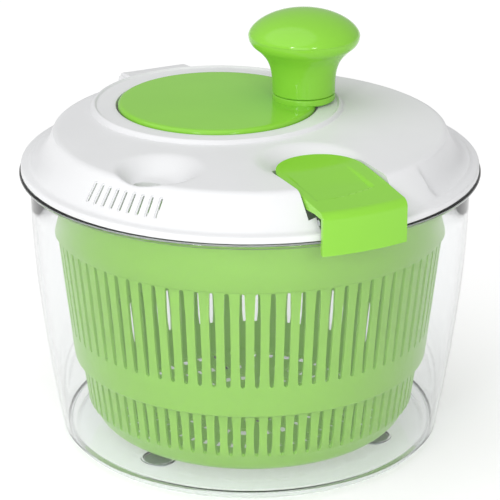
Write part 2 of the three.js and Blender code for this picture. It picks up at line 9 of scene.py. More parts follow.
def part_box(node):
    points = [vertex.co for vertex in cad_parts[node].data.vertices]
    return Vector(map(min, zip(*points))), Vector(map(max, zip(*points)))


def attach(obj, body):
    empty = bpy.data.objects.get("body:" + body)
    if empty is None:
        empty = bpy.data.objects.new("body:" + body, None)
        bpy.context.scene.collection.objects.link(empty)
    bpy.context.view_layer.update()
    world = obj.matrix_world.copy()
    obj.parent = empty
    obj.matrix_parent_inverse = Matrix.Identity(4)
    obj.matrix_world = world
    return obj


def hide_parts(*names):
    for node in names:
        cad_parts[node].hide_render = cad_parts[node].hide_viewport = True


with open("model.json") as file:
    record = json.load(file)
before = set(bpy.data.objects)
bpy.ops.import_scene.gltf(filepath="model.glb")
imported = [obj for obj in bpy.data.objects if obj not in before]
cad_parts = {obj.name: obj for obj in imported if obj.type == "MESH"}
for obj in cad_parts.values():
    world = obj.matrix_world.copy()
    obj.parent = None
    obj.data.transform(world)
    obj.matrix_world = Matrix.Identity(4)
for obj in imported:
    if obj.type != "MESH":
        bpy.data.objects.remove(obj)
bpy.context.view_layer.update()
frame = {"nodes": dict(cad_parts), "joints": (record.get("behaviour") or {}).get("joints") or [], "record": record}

# ---- Stage ----
# A pale floor that runs far past the view under an even sky. A wide soft lamp overhead gives
# most of the light; one low in front fills, and two small ones make the crisp highlights.
stage = bpy.context.scene
stage.view_settings.view_transform = "Standard"

sky = bpy.data.worlds.new("sky")
sky.use_nodes = True
sky.node_tree.nodes["Background"].inputs["Color"].default_value = (1.0, 1.0, 1.0, 1.0)
sky.node_tree.nodes["Background"].inputs["Strength"].default_value = 0.48
stage.world = sky

view_distance = 1.2675
view_tilt = math.radians(21.29)
view_height = 0.101
target = Vector((0, 0, view_height))
camera = bpy.data.objects.new("camera", bpy.data.cameras.new("camera"))
camera.data.lens = 168.3
camera.data.sensor_width = 36
camera.location = target + view_distance * Vector((0, -math.cos(view_tilt), math.sin(view_tilt)))
camera.rotation_euler = (target - camera.location).to_track_quat("-Z", "Y").to_euler()
stage.collection.objects.link(camera)
stage.camera = camera


def soft_lamp(name, place, size, power):
    """A square lamp turned to the object."""
    lamp = bpy.data.objects.new(name, bpy.data.lights.new(name, "AREA"))
    lamp.data.shape = "SQUARE"
    lamp.data.size = size
    lamp.data.energy = power
    lamp.location = place
    lamp.rotation_euler = (target - Vector(place)).to_track_quat("-Z", "Y").to_euler()
    stage.collection.objects.link(lamp)


soft_lamp("lamp_front", (-0.25, -1.7, 0.55), 1.1, 6.5)
soft_lamp("lamp_small_left", (-0.72, -1.55, 0.95), 0.22, 4.5)
soft_lamp("lamp_small_right", (0.62, -1.6, 0.85), 0.2, 3.5)
overhead = bpy.data.objects.new("lamp_overhead", bpy.data.lights.new("lamp_overhead", "SUN"))
overhead.data.energy = 1.25
overhead.data.angle = math.radians(80)
overhead.rotation_euler = (math.radians(12), math.radians(-24), 0)
stage.collection.objects.link(overhead)

floor_mesh = bpy.data.meshes.new("floor")
side = 6.0
corners = [(-side, -side, 0), (side, -side, 0), (side, side, 0), (-side, side, 0)]
floor_mesh.from_pydata(corners, [], [(0, 1, 2, 3)])
floor = bpy.data.objects.new("floor", floor_mesh)
stage.collection.objects.link(floor)
floor_paper = bpy.data.materials.new("floor_paper")
floor_paper.use_nodes = True
paper = floor_paper.node_tree.nodes["Principled BSDF"]
paper.inputs["Base Color"].default_value = (0.7, 0.7, 0.7, 1)
paper.inputs["Roughness"].default_value = 0.9
paper.inputs["Emission Color"].default_value = (1.0, 1.0, 1.0, 1)
paper.inputs["Emission Strength"].default_value = 0.42
floor_mesh.materials.append(floor_paper)

# ---- Bowl ----
# One injection-moulded shell of clear, polished plastic. Its rim is turned out to carry the
# lid, and its floor has a pivot cone in the middle, a low ring and three seats for the feet.
mm = 0.001
bowl_low, bowl_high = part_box("bowl")
rim_radius = bowl_high[1] / mm
rim_top = bowl_high[2] / mm
foot_low, foot_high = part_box("foot_left")
foot_top = foot_high[2] / mm
floor_under = bowl_low[2] / mm
bowl_wall = 2.2
wall_top_radius = rim_radius - 5.7
base_radius = 102.3
straight_above = rim_top - 20


def arc(centre, radius, start, end, steps):
    """Points of an arc in the (radius, height) plane, with its angles in degrees from outwards."""
    angles = [math.radians(start + (end - start) * i / steps) for i in range(steps + 1)]
    return [(centre[0] + radius * math.cos(a), centre[1] + radius * math.sin(a)) for a in angles]


def bowl_radius(height):
    share = min(height / straight_above, 1)
    return wall_top_radius - (wall_top_radius - base_radius) * (1 - share) ** 1.63


def turned(outline, segments, loop=False):
    """A mesh of the (radius, height) outline in millimetres, turned about the Z axis."""
    shape = bmesh.new()
    rings = []
    for radius, height in outline:
        if radius < 1e-6:
            rings.append([shape.verts.new((0, 0, height * mm))])
            continue
        turn = [2 * math.pi * i / segments for i in range(segments)]
        flat = [(radius * mm * math.cos(a), radius * mm * math.sin(a)) for a in turn]
        rings.append([shape.verts.new((x, y, height * mm)) for x, y in flat])
    pairs = list(zip(rings, rings[1:])) + ([(rings[-1], rings[0])] if loop else [])
    for below, above in pairs:
        for i in range(segments):
            j = (i + 1) % segments
            corners = [below[i % len(below)], below[j % len(below)]]
            corners += [above[j % len(above)], above[i % len(above)]]
            shape.faces.new(list(dict.fromkeys(corners)))
    bmesh.ops.recalc_face_normals(shape, faces=shape.faces)
    mesh = bpy.data.meshes.new("turned")
    shape.to_mesh(mesh)
    shape.free()
    return mesh


def shaped(mesh, *changes):
    """The mesh as one solid after Boolean changes, each an operation and its tool."""
    body = bpy.data.objects.new("body", mesh)
    stage.collection.objects.link(body)
    tools = []
    for operation, tool_mesh in changes:
        tool = bpy.data.objects.new("tool", tool_mesh)
        stage.collection.objects.link(tool)
        tools.append(tool)
        change = body.modifiers.new(operation, "BOOLEAN")
        change.operation = operation
        change.solver = "MANIFOLD"
        change.object = tool
    made = bpy.data.meshes.new_from_object(body.evaluated_get(bpy.context.evaluated_depsgraph_get()))
    for spare in [body, *tools]:
        bpy.data.objects.remove(spare)
    return made


def moved(mesh, x=0, y=0, z=0, turn=0):
    """The mesh turned about Z by degrees, after a move in millimetres."""
    shift = Matrix.Translation((x * mm, y * mm, z * mm))
    mesh.transform(Matrix.Rotation(math.radians(turn), 4, "Z") @ shift)
    return mesh


def fitted(name, mesh, body, material, replaced=(), crease=32):
    """Smooths the mesh up to its creases, and puts it on the frame as a piece."""
    for polygon in mesh.polygons:
        polygon.use_smooth = True
    shape = bmesh.new()
    shape.from_mesh(mesh)
    for edge in shape.edges:
        edge.smooth = len(edge.link_faces) == 2 and edge.calc_face_angle(0) < math.radians(crease)
    shape.to_mesh(mesh)
    shape.free()
    mesh.materials.clear()
    mesh.materials.append(material)
    piece = bpy.data.objects.new(name, mesh)
    stage.collection.objects.link(piece)
    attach(piece, body)
    if replaced:
        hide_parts(*replaced)
    return piece


# Clear plastic: polished, a trace of grey-green in its thickness, with the faint waviness of a
# moulded wall. Rays from the lamps pass straight through it, so what is inside is lit.
clear = bpy.data.materials.new("clear_plastic")
clear.use_nodes = True
nodes, links = clear.node_tree.nodes, clear.node_tree.links
glossy = nodes["Principled BSDF"]
glossy.inputs["Base Color"].default_value = (0.985, 0.99, 0.99, 1)
glossy.inputs["Transmission Weight"].default_value = 1.0
glossy.inputs["IOR"].default_value = 1.46
place = nodes.new("ShaderNodeTexCoord")
haze = nodes.new("ShaderNodeTexNoise")
haze.inputs["Scale"].default_value = 60
haze_range = nodes.new("ShaderNodeMapRange")
haze_range.inputs["To Min"].default_value = 0.0
haze_range.inputs["To Max"].default_value = 0.035
waves = nodes.new("ShaderNodeTexNoise")
waves.inputs["Scale"].default_value = 18
waves.inputs["Detail"].default_value = 1
ripple = nodes.new("ShaderNodeBump")
ripple.inputs["Strength"].default_value = 0.06
ripple.inputs["Distance"].default_value = 0.0006
depth_tint = nodes.new("ShaderNodeVolumeAbsorption")
depth_tint.inputs["Color"].default_value = (0.5, 0.53, 0.57, 1)
depth_tint.inputs["Density"].default_value = 26.0
see_through = nodes.new("ShaderNodeBsdfTransparent")
see_through.inputs["Color"].default_value = (0.93, 0.95, 0.95, 1)
ray = nodes.new("ShaderNodeLightPath")
either = nodes.new("ShaderNodeMixShader")
links.new(place.outputs["Object"], haze.inputs["Vector"])
links.new(haze.outputs["Fac"], haze_range.inputs["Value"])
links.new(haze_range.outputs["Result"], glossy.inputs["Roughness"])
links.new(place.outputs["Object"], waves.inputs["Vector"])
links.new(waves.outputs["Fac"], ripple.inputs["Height"])
links.new(ripple.outputs["Normal"], glossy.inputs["Normal"])
links.new(ray.outputs["Is Shadow Ray"], either.inputs["Fac"])
links.new(glossy.outputs["BSDF"], either.inputs[1])
links.new(see_through.outputs["BSDF"], either.inputs[2])
links.new(either.outputs["Shader"], nodes["Material Output"].inputs["Surface"])
links.new(depth_tint.outputs["Volume"], nodes["Material Output"].inputs["Volume"])

wall_heights = [6 + (straight_above - 6) * i / 26 for i in range(27)]
inner_floor = floor_under + 2.4
foot_ring = math.hypot((foot_low[0] + foot_high[0]) / 2, (foot_low[1] + foot_high[1]) / 2) / mm
foot_radius = (foot_high[0] - foot_low[0]) / 2 / mm
ring_ridge = foot_ring + foot_radius
pivot_top = inner_floor + 11.8
bowl_outline = [
    (0, floor_under),
    (base_radius - 7, floor_under),
    *arc((base_radius - 5.6, floor_under + 5.6), 5.6, -80, -12, 8),
    *[(bowl_radius(z), z) for z in wall_heights],
    (wall_top_radius, rim_top - 5),
    *arc((wall_top_radius + 1.6, rim_top - 4), 1.6, 180, 90, 5),
    *arc((rim_radius - 1.2, rim_top - 1.2), 1.2, -90, 90, 8),
    *arc((wall_top_radius - bowl_wall + 0.8, rim_top - 0.8), 0.8, 90, 180, 3),
    *[(bowl_radius(z) - bowl_wall, z) for z in reversed(wall_heights)],
    *arc((base_radius - 9, inner_floor + 4.2), 5, -10, -88, 7),
    (ring_ridge + 2.4, inner_floor),
    (ring_ridge + 1.2, inner_floor - 0.1),
    (ring_ridge - 0.6, inner_floor - 0.5),
    (ring_ridge - 1.8, inner_floor - 0.6),
    (14, inner_floor - 0.6),
    *arc((14, inner_floor + 5.4), 6, -90, -160, 6),
    (4.6, pivot_top - 4),
    *arc((0, pivot_top - 4), 4, 12, 78, 6),
    (0, pivot_top),
]
bowl_changes = []
for foot in ("foot_left", "foot_right", "foot_rear"):
    low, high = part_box(foot)
    x, y = (low[0] + high[0]) / 2 / mm, (low[1] + high[1]) / 2 / mm
    seat_out = foot_radius + 2.1
    seat = arc((foot_radius + 1.2, inner_floor - 0.7), 0.9, 0, 180, 8)
    seat += [(foot_radius + 0.3, inner_floor - 1.4), (seat_out, inner_floor - 1.4)]
    bowl_changes.append(("UNION", moved(turned(seat, 64, True), x, y)))
    pocket_out = foot_radius + 0.3
    pocket_low, pocket_top = floor_under - 1, foot_top + 0.2
    pocket = [(0, pocket_low), (pocket_out, pocket_low), (pocket_out, pocket_top), (0, pocket_top)]
    bowl_changes.append(("DIFFERENCE", moved(turned(pocket, 48), x, y)))
bowl = shaped(turned(bowl_outline, 256), *bowl_changes)
fitted("bowl_shell", bowl, "bowl", clear, ["bowl"])

# ---- Feet ----
# Three soft rubber pads pressed into the seats under the bowl, each a short plug with a
# rounded lower edge and a flat face on the table.
rubber = bpy.data.materials.new("foot_rubber")
rubber.use_nodes = True
nodes, links = rubber.node_tree.nodes, rubber.node_tree.links
glossy = nodes["Principled BSDF"]
glossy.inputs["Roughness"].default_value = 0.75
place = nodes.new("ShaderNodeTexCoord")
grain = nodes.new("ShaderNodeTexNoise")
grain.inputs["Scale"].default_value = 900
tone = nodes.new("ShaderNodeValToRGB")
tone.color_ramp.elements[0].color = (0.17, 0.21, 0.19, 1)
tone.color_ramp.elements[1].color = (0.25, 0.29, 0.27, 1)
pits = nodes.new("ShaderNodeBump")
pits.inputs["Strength"].default_value = 0.25
pits.inputs["Distance"].default_value = 0.0003
links.new(place.outputs["Object"], grain.inputs["Vector"])
links.new(grain.outputs["Fac"], tone.inputs["Fac"])
links.new(tone.outputs["Color"], glossy.inputs["Base Color"])
links.new(grain.outputs["Fac"], pits.inputs["Height"])
links.new(pits.outputs["Normal"], glossy.inputs["Normal"])

for foot in ("foot_left", "foot_right", "foot_rear"):
    low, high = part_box(foot)
    x, y = (low[0] + high[0]) / 2 / mm, (low[1] + high[1]) / 2 / mm
    outline = [(0, 0), (foot_radius - 1.6, 0), *arc((foot_radius - 0.9, 0.9), 0.9, -90, 0, 5)]
    outline += [(foot_radius, foot_top - 0.3), (foot_radius - 0.3, foot_top), (0, foot_top)]
    fitted(foot + "_pad", moved(turned(outline, 48), x, y), "bowl", rubber, [foot])



# ---- Pivot bush ----
# The nylon cup between the bowl's pivot cone and the basket's hub. It is moulded in one piece
# and drops over the cone, and the basket is lifted off it.
def moulded(name, colour, paler, rough, grain_depth, painted_glow=0.0):
    """A tinted plastic with a satin skin: fine grain, glossier patches, faint streaks and paler
    rubbed edges. A weak painted glow in the plastic's own colour stands in for the light that a thin wall lets
    through."""
    plastic = bpy.data.materials.new(name)
    plastic.use_nodes = True
    nodes, links = plastic.node_tree.nodes, plastic.node_tree.links
    skin = nodes["Principled BSDF"]
    skin.inputs["Specular IOR Level"].default_value = 0.38
    # Painted glow: the surface gives off its own colour as light, though it is no lamp.
    skin.inputs["Emission Color"].default_value = (*colour, 1)
    skin.inputs["Emission Strength"].default_value = painted_glow
    place = nodes.new("ShaderNodeTexCoord")
    streaks = nodes.new("ShaderNodeTexNoise")
    streaks.inputs["Scale"].default_value = 14
    streaks.inputs["Detail"].default_value = 3
    tint = nodes.new("ShaderNodeValToRGB")
    tint.color_ramp.elements[0].position = 0.3
    tint.color_ramp.elements[0].color = (*[c * 0.965 for c in colour], 1)
    tint.color_ramp.elements[1].position = 0.7
    tint.color_ramp.elements[1].color = (*[min(c * 1.025, 1) for c in colour], 1)
    form = nodes.new("ShaderNodeNewGeometry")
    edge = nodes.new("ShaderNodeMapRange")
    edge.inputs["From Min"].default_value = 0.54
    edge.inputs["From Max"].default_value = 0.66
    edge.inputs["To Max"].default_value = 0.3
    rubbed = nodes.new("ShaderNodeMix")
    rubbed.data_type = "RGBA"
    rubbed.inputs[7].default_value = (*paler, 1)
    patches = nodes.new("ShaderNodeTexNoise")
    patches.inputs["Scale"].default_value = 45
    gloss = nodes.new("ShaderNodeMapRange")
    gloss.inputs["To Min"].default_value = rough - 0.04
    gloss.inputs["To Max"].default_value = rough + 0.04
    grain = nodes.new("ShaderNodeTexNoise")
    grain.inputs["Scale"].default_value = 1400
    grain.inputs["Detail"].default_value = 2
    sink = nodes.new("ShaderNodeBump")
    sink.inputs["Strength"].default_value = grain_depth
    sink.inputs["Distance"].default_value = 0.00025
    for texture in (streaks, patches, grain):
        links.new(place.outputs["Object"], texture.inputs["Vector"])
    links.new(streaks.outputs["Fac"], tint.inputs["Fac"])
    links.new(form.outputs["Pointiness"], edge.inputs["Value"])
    links.new(edge.outputs["Result"], rubbed.inputs["Factor"])
    links.new(tint.outputs["Color"], rubbed.inputs[6])
    links.new(rubbed.outputs[2], skin.inputs["Base Color"])
    links.new(patches.outputs["Fac"], gloss.inputs["Value"])
    links.new(gloss.outputs["Result"], skin.inputs["Roughness"])
    links.new(grain.outputs["Fac"], sink.inputs["Height"])
    links.new(sink.outputs["Normal"], skin.inputs["Normal"])
    return plastic


nylon = moulded("nylon", (0.72, 0.69, 0.6), (0.8, 0.78, 0.72), 0.5, 0.2)
low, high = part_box("pivot_bush")
bush_radius, bush_low, bush_high = high[0] / mm, low[2] / mm, high[2] / mm
bush_outline = [
    (0, bush_high),
    (bush_radius - 0.6, bush_high),
    (bush_radius, bush_high - 0.6),
    (bush_radius, bush_low + 0.4),
    (bush_radius - 0.4, bush_low),
    (bush_radius - 1.7, bush_low),
    (bush_radius - 2.2, bush_low + 0.5),
    (bush_radius - 2.2, bush_high - 2.5),
    (0, bush_high - 2.5),
]
fitted("bush_cup", turned(bush_outline, 48), "bush", nylon, ["pivot_bush"])


# ---- Basket ----
# A thin green shell with a plain band under its rim, two tiers of upright slots with a plain
# band between them, and a slotted floor about a hub. One sector is made, then repeated.
def polar_repeat():
    """A tree that sets copies of its piece around the Z axis, each turned, and coats them."""
    tree = bpy.data.node_groups.new("repeat_around", "GeometryNodeTree")
    tree.is_modifier = True
    face = tree.interface
    face.new_socket("Piece", in_out="INPUT", socket_type="NodeSocketGeometry")
    face.new_socket("Copies", in_out="INPUT", socket_type="NodeSocketInt")
    face.new_socket("Reach", in_out="INPUT", socket_type="NodeSocketVector")
    face.new_socket("First angle", in_out="INPUT", socket_type="NodeSocketFloat")
    face.new_socket("Step angle", in_out="INPUT", socket_type="NodeSocketFloat")
    face.new_socket("First turn", in_out="INPUT", socket_type="NodeSocketFloat")
    face.new_socket("Step turn", in_out="INPUT", socket_type="NodeSocketFloat")
    face.new_socket("Material", in_out="INPUT", socket_type="NodeSocketMaterial")
    face.new_socket("Copies made", in_out="OUTPUT", socket_type="NodeSocketGeometry")
    given = tree.nodes.new("NodeGroupInput")
    points = tree.nodes.new("GeometryNodePoints")
    number = tree.nodes.new("GeometryNodeInputIndex")
    angle = tree.nodes.new("ShaderNodeMath")
    angle.operation = "MULTIPLY_ADD"
    where = tree.nodes.new("ShaderNodeVectorRotate")
    where.rotation_type = "Z_AXIS"
    turn = tree.nodes.new("ShaderNodeMath")
    turn.operation = "MULTIPLY_ADD"
    spin = tree.nodes.new("ShaderNodeCombineXYZ")
    copies = tree.nodes.new("GeometryNodeInstanceOnPoints")
    real = tree.nodes.new("GeometryNodeRealizeInstances")
    weld = tree.nodes.new("GeometryNodeMergeByDistance")
    weld.inputs["Distance"].default_value = 0.00002
    coat = tree.nodes.new("GeometryNodeSetMaterial")
    result = tree.nodes.new("NodeGroupOutput")
    for start, end in (
        (given.outputs["Copies"], points.inputs["Count"]),
        (given.outputs["Reach"], where.inputs["Vector"]),
        (angle.outputs[0], where.inputs["Angle"]),
        (where.outputs[0], points.inputs["Position"]),
        (number.outputs[0], angle.inputs[0]),
        (given.outputs["Step angle"], angle.inputs[1]),
        (given.outputs["First angle"], angle.inputs[2]),
        (number.outputs[0], turn.inputs[0]),
        (given.outputs["Step turn"], turn.inputs[1]),
        (given.outputs["First turn"], turn.inputs[2]),
        (turn.outputs[0], spin.inputs["Z"]),
        (points.outputs[0], copies.inputs["Points"]),
        (given.outputs["Piece"], copies.inputs["Instance"]),
        (spin.outputs[0], copies.inputs["Rotation"]),
        (copies.outputs[0], real.inputs[0]),
        (real.outputs[0], weld.inputs[0]),
        (weld.outputs[0], coat.inputs["Geometry"]),
        (given.outputs["Material"], coat.inputs["Material"]),
        (coat.outputs[0], result.inputs[0]),
    ):
        tree.links.new(start, end)
    return tree


around = polar_repeat()


def repeated(mesh, copies, material, reach=(0, 0, 0), first=0.0, step=None, turn_step=None):
    """The mesh repeated around the Z axis by the tree, as a plain mesh."""
    step = step or 360 / copies
    turn_step = turn_step or step
    first_turn = first + (step - turn_step) * (copies - 1) / 2
    maker = bpy.data.objects.new("maker", mesh)
    stage.collection.objects.link(maker)
    change = maker.modifiers.new("repeat", "NODES")
    change.node_group = around
    values = {
        "Copies": copies,
        "Reach": [c * mm for c in reach],
        "First angle": math.radians(first),
        "Step angle": math.radians(step),
        "First turn": math.radians(first_turn),
        "Step turn": math.radians(turn_step),
        "Material": material,
    }
    for socket in around.interface.items_tree:
        if socket.in_out == "INPUT" and socket.name in values:
            change[socket.identifier] = values[socket.name]
    made = bpy.data.meshes.new_from_object(maker.evaluated_get(bpy.context.evaluated_depsgraph_get()))
    bpy.data.objects.remove(maker)
    return made


# The basket's green carries a painted glow of 0.3, which brightens its shaded inside as if light came through its
# thin wall.
basket_green = moulded("basket_green_plastic", (0.19, 0.40, 0.05), (0.33, 0.54, 0.12), 0.3, 0.06, 0.3)
basket_low, basket_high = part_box("basket")
basket_foot, basket_rim = basket_low[2] / mm, basket_high[2] / mm
rim_out = basket_high[1] / mm
basket_wall = 1.8
slots_around = 84
sector_slots = 4
hub_radius = bush_radius + 2.7
wall_profile = [
    # radius, height, and what lies above this row: a slot tier, a floor ring or plain wall
    *[(r, basket_foot, "plain") for r in (hub_radius, 15)],
    *[(r, basket_foot, "hole") for r in (18, 21)],
    *[(r, basket_foot, "plain") for r in (24, 28)],
    *[(r, basket_foot, "hole") for r in (32, 36)],
    *[(r, basket_foot, "plain") for r in (40, 44)],
    *[(r, basket_foot, "fine") for r in (48, 52)],
    *[(r, basket_foot, "plain") for r in (56, 60)],
    *[(r, basket_foot, "fine") for r in (64, 68)],
    (71.5, basket_foot, "plain"),
    *[(r, z, "plain") for r, z in arc((74.5, basket_foot + 12), 12, -88, -24, 6)],
    (87.6, basket_foot + 11.2, "plain"),
    (89.4, 21.6, "slot"),
    (90.2, 28, "slot"),
    (91.4, 37, "slot"),
    (92.4, 45.0, "plain"),
    (92.7, 46.0, "plain"),
    (93.4, 46.5, "plain"),
    (95.6, 46.6, "plain"),
    (96.2, 47.3, "plain"),
    (97.2, 55, "plain"),
    (98.1, 64.5, "slot"),
    (99.6, 78, "slot"),
    (101.0, 91, "slot"),
    (102.4, 104, "slot"),
    (103.9, 117.4, "plain"),
    (104.0, 118.6, "plain"),
    (105.7, 119.2, "plain"),
    (106.3, 120.2, "plain"),
    (106.9, 134, "plain"),
    (107.5, basket_rim - 2.6, "plain"),
    (rim_out - 0.3, basket_rim - 2.2, "plain"),
    (rim_out, basket_rim - 1.2, "plain"),
    (rim_out - 0.4, basket_rim, "plain"),
    (rim_out - 3.4, basket_rim, "plain"),
]
slot_share = 0.42
slot_round = 0.7
columns = []
for slot in range(sector_slots):
    columns += [slot, slot + 0.5 - slot_share / 2, slot + 0.5, slot + 0.5 + slot_share / 2]
columns.append(sector_slots)
pitch = 2 * math.pi / slots_around
sector = bmesh.new()
rows = []
for index, (radius, height, kind) in enumerate(wall_profile):
    before = wall_profile[index - 1][2] if index else "plain"
    is_end = (kind == "slot") != (before == "slot")
    row = []
    for column in columns:
        part = column % 1
        ease = 0
        if is_end and part not in (0, 0.5):
            ease = 0.3 * (0.5 - part)
        a = (column + ease) * pitch
        rise = 0
        if is_end and part == 0.5:
            rise = slot_round if before == "slot" else -slot_round
        x, y = radius * mm * math.cos(a), radius * mm * math.sin(a)
        row.append(sector.verts.new((x, y, (height + rise) * mm)))
    rows.append(row)
open_columns = {
    "slot": [c for c in range(len(columns) - 1) if c % 4 in (1, 2)],
    "fine": [c for c in range(len(columns) - 1) if c % 8 in (1, 2, 3, 4)],
    "hole": [c for c in range(len(columns) - 1) if 3 < c < 12],
    "plain": [],
}
for index in range(len(rows) - 1):
    kind = wall_profile[index][2]
    for c in range(len(columns) - 1):
        if c in open_columns[kind]:
            continue
        sector.faces.new([rows[index][c], rows[index][c + 1], rows[index + 1][c + 1], rows[index + 1][c]])
sector_mesh = bpy.data.meshes.new("basket_sector")
sector.to_mesh(sector_mesh)
sector.free()
skin = repeated(sector_mesh, slots_around // sector_slots, basket_green)

basket_skin = bpy.data.objects.new("basket_skin", skin)
stage.collection.objects.link(basket_skin)
shape = bmesh.new()
shape.from_mesh(skin)
bmesh.ops.recalc_face_normals(shape, faces=shape.faces)
outermost = max(shape.faces, key=lambda f: f.calc_center_median().xy.length)
if outermost.normal.dot(Vector((*outermost.calc_center_median().xy, 0))) < 0:
    bmesh.ops.reverse_faces(shape, faces=shape.faces)
shape.to_mesh(skin)
shape.free()
thicken = basket_skin.modifiers.new("wall", "SOLIDIFY")
thicken.thickness = basket_wall * mm
thicken.offset = -1
shell = bpy.data.meshes.new_from_object(basket_skin.evaluated_get(bpy.context.evaluated_depsgraph_get()))
bpy.data.objects.remove(basket_skin)
hub_top = bush_high + 2.7
hub_outline = [
    (0, hub_top),
    *arc((hub_radius - 2.5, hub_top - 2), 2, 90, 0, 4),
    (hub_radius + 0.8, basket_foot + 3.6),
    (hub_radius + 2.6, basket_foot + basket_wall),
    (hub_radius + 2.6, basket_foot + 0.2),
    (bush_radius + 0.3, basket_foot + 0.1),
    (bush_radius + 0.3, bush_high + 0.3),
    (0, bush_high + 0.3),
]
lug_reach, lug_height = 102.2, 143.5
lug_size = (7.2, 4.0, 7.5)
lug_edge = 0.6
lug = bmesh.new()
lug_place = Matrix.Translation((lug_reach * mm, 0, lug_height * mm))
lug_scale = Matrix.Diagonal((*[length * mm for length in lug_size], 1))
bmesh.ops.create_cube(lug, size=1, matrix=lug_place @ lug_scale)
bmesh.ops.bevel(lug, geom=lug.edges, offset=lug_edge * mm, segments=2, affect="EDGES")
lug_mesh = bpy.data.meshes.new("lug")
lug.to_mesh(lug_mesh)
lug.free()
latch_joint = next(j for j in frame["joints"] if j["name"] == "latch_press")
latch_angle = math.degrees(math.atan2(latch_joint["pos_m"][1], latch_joint["pos_m"][0]))
lugs = repeated(lug_mesh, 4, basket_green, first=latch_angle + 45)
both = bmesh.new()
for part in (shell, turned(hub_outline, 84), lugs):
    both.from_mesh(part)
basket_mesh = bpy.data.meshes.new("basket")
both.to_mesh(basket_mesh)
both.free()
fitted("basket_shell", basket_mesh, "basket", basket_green, ["basket"])

# ---- Lid ----
# The white lid: a nearly flat top, a sloping flank and a flat rim band. A raised collar rings
# the crank, and the top is scooped out for the water inlet and behind the latch.
# The white carries a faint painted glow of 0.03, standing in for light through the thin lid wall.
white = moulded("white_plastic", (0.76, 0.765, 0.775), (0.82, 0.82, 0.82), 0.38, 0.16, 0.03)
lid_foot = rim_top + 0.3
lid_edge = rim_radius - 1
crank_joint = next(j for j in frame["joints"] if j["name"] == "crank_spin")
crank_at = Matrix.Rotation(-math.radians(latch_angle), 3, "Z") @ Vector(crank_joint["pos_m"]) / mm
disc_low, disc_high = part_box("crank_disc")
disc_radius = (disc_high[1] - disc_low[1]) / 2 / mm
well_radius = disc_radius + 1.0
well_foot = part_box("gear_housing")[1][2] / mm + 0.3
ledge = rim_top + 23.2
collar_edge = 65.9
top_height = rim_top + 22.4
shoulder_radius = 101.5
shoulder_round = 6.0
flank_slope = 51
flank_end = 117.4
lid_wall = 1.6
skirt = lid_edge - 8.4


def eased(share):
    """A share from 0 to 1, with a soft start and end."""
    share = min(max(share, 0), 1)
    return share * share * (3 - 2 * share)


def highest(a, b, blend):
    """The higher of two heights, with a fillet where they cross."""
    share = min(max(0.5 + 0.5 * (a - b) / blend, 0), 1)
    return b + (a - b) * share + blend * share * (1 - share)


def dome(radius):
    """The height of the nearly flat crown, the round shoulder and the straight flank."""
    crown = top_height - 1.5 * (min(radius, shoulder_radius) / shoulder_radius) ** 2
    if radius <= shoulder_radius:
        return crown
    steepest = math.sin(math.radians(flank_slope))
    turn = math.asin(min((radius - shoulder_radius) / shoulder_round, steepest))
    end = shoulder_radius + shoulder_round * steepest
    fall = max(radius - end, 0) * math.tan(math.radians(flank_slope))
    return max(crown - shoulder_round * (1 - math.cos(turn)) - fall, rim_top + 4)


def collar(reach):
    """The height of the ledge and the raised collar, by how far a point is from the crank."""
    if reach < collar_edge + 0.8:
        return ledge + 1.0 * eased((reach - collar_edge + 0.6) / 1.2)
    return ledge + 1.0 - (reach - collar_edge - 0.8) ** 2 / 1.8


dish_angle = math.radians(-60)
dish_reach = 83.6
dish_radius = 23.6


def dish_depth(u, v):
    """The rinsing dish: a soft slope down from the middle of the lid, and a steep front wall."""
    out = u * math.cos(dish_angle) + v * math.sin(dish_angle) - dish_reach
    side = -u * math.sin(dish_angle) + v * math.cos(dish_angle)
    far = math.hypot(out, side)
    forward = 0.5 + 0.5 * out / max(far, 1)
    return 7.6 * eased((1 - far / dish_radius) / (0.84 - 0.46 * forward))


def latch_dip(u, v):
    """The dip that leaves room for a thumb behind the round end of the latch."""
    far = math.hypot(min(u - 66, 0) / 29, v / 29)
    return 8.5 * eased((1 - far) / 0.75) * (1 - eased((u - 66) / 16))


def cove_share(angle):
    """How much of a finger cove the flank has: a sharp end wall, and a long run-out."""
    turn = math.degrees(angle) % 180
    return eased((turn - 26) / 2.5) * (1 - eased((turn - 68) / 32))


def cove_height(radius):
    """The hollow flank of a cove, which ends on the rim band."""
    share = min(max((radius - 104.5) / 12.5, 0), 1)
    return top_height - 1.4 - 15.8 * (1 - (1 - share) ** 2.6)


def lid_height(u, v):
    """The height of the lid's skin; u points at the latch and v lies across it."""
    radius = math.hypot(u, v)
    plain = highest(dome(radius), collar(math.hypot(u - crank_at.x, v - crank_at.y)), 1.0)
    if radius > 103:
        hollow = cove_share(math.atan2(v, u)) * eased((radius - 103) / 2)
        plain -= hollow * max(plain - cove_height(radius), 0)
    return plain - dish_depth(u, v) - latch_dip(u, v)


